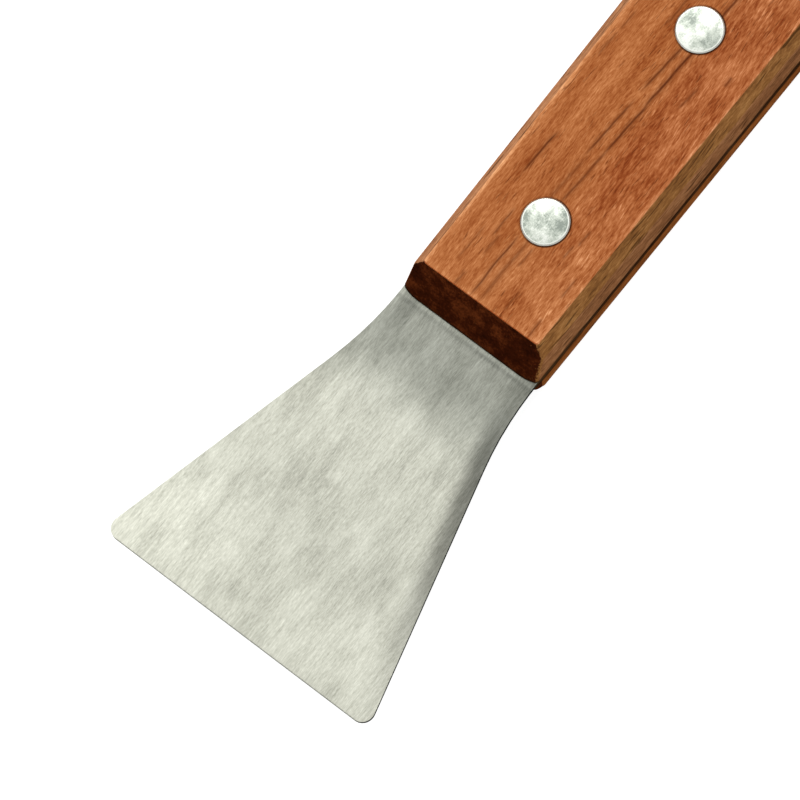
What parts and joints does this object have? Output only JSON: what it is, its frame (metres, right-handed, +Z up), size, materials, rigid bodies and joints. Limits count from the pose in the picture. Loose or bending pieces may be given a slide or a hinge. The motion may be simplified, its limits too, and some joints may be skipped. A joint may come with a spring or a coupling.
{
  "type": "hive tool",
  "caption": "Flared stainless steel scraper with a riveted hardwood handle, for scraping wax and propolis off beehive frames and boxes.",
  "frame": {"origin": "below the middle of the overall length, on the plane of the back rivet heads that the tool lies on", "axes": "+X along the tool from the scraping edge to the butt, +Y across the width, +Z up through the thickness"},
  "size_m": [0.182, 0.0532, 0.0168],
  "materials": {
    "steel": "satin, brushed along the tool",
    "wood": "oiled reddish hardwood, satin",
    "rivet_metal": "ground, with fine scratches"
  },
  "bodies": {
    "root": {"blade": "steel", "front_scale": "wood", "back_scale": "wood", "rivet_1_post": "rivet_metal", "rivet_1_sleeve": "rivet_metal", "rivet_2_post": "rivet_metal", "rivet_2_sleeve": "rivet_metal", "rivet_3_post": "rivet_metal", "rivet_3_sleeve": "rivet_metal"}
  },
  "joints": []
}
